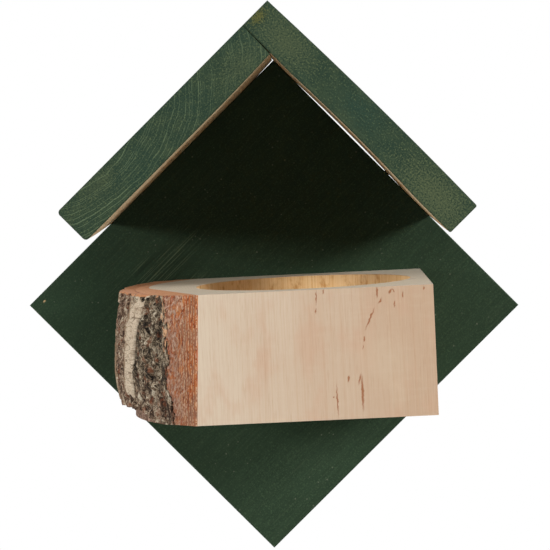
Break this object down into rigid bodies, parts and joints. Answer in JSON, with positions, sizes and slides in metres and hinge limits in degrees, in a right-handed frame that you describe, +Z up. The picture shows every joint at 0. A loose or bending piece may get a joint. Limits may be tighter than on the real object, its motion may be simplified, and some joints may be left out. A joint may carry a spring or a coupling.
{
  "type": "bird feeder",
  "caption": "Wall-hung wooden bird feeder: square green-stained board standing on its corner, gable roof on its upper edges, and a log-slice trough with round seed recess and natural bark side.",
  "frame": {"origin": "centre of the panel's back face, on the wall", "axes": "+X right as seen from the front, +Y into the wall, +Z up"},
  "size_m": [0.2828, 0.17, 0.311],
  "materials": {
    "panel_stained_wood": "dark green wood stain, matt",
    "roof_stained_wood": "green wood stain on end grain, bare underside",
    "bare_wood": "sawn, bare",
    "inner_bark": "fibrous inner bark",
    "outer_bark": "fissured cork with pale plates",
    "zinc_plated_steel": "zinc plated"
  },
  "bodies": {
    "root": {"back_panel": "panel_stained_wood", "left_roof_board": "roof_stained_wood", "right_roof_board": "roof_stained_wood", "trough_block": "bare_wood", "inner_bark": "inner_bark", "outer_bark": "outer_bark", "roof_screws": "zinc_plated_steel", "ridge_screws": "zinc_plated_steel", "trough_screws": "zinc_plated_steel"}
  },
  "joints": []
}
